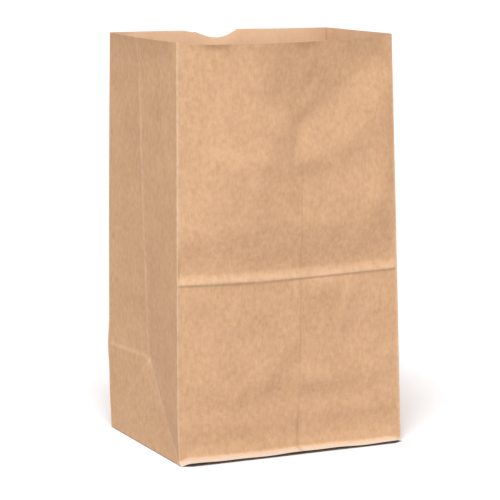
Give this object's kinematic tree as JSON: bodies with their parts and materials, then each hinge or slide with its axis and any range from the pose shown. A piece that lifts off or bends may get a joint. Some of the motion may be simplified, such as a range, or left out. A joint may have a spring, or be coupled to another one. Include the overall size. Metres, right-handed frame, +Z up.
{
  "type": "paper lunch bag",
  "caption": "Open, free-standing brown kraft paper bag with pleated side gussets, a folded and pasted flat base, a lapped front seam and a thumb notch in the back rim.",
  "frame": {"origin": "middle of the base on the surface it stands on", "axes": "+Z up to the open mouth; -Y is the wide front with the lap seam, +Y the back with the thumb notch, -X and +X the gussets"},
  "size_m": [0.2076, 0.1736, 0.34],
  "materials": {
    "kraft_paper": "matt unbleached kraft, slightly mottled, with fine fibre grain running up the bag"
  },
  "bodies": {
    "root": {"paper_bag": "kraft_paper"}
  },
  "joints": []
}
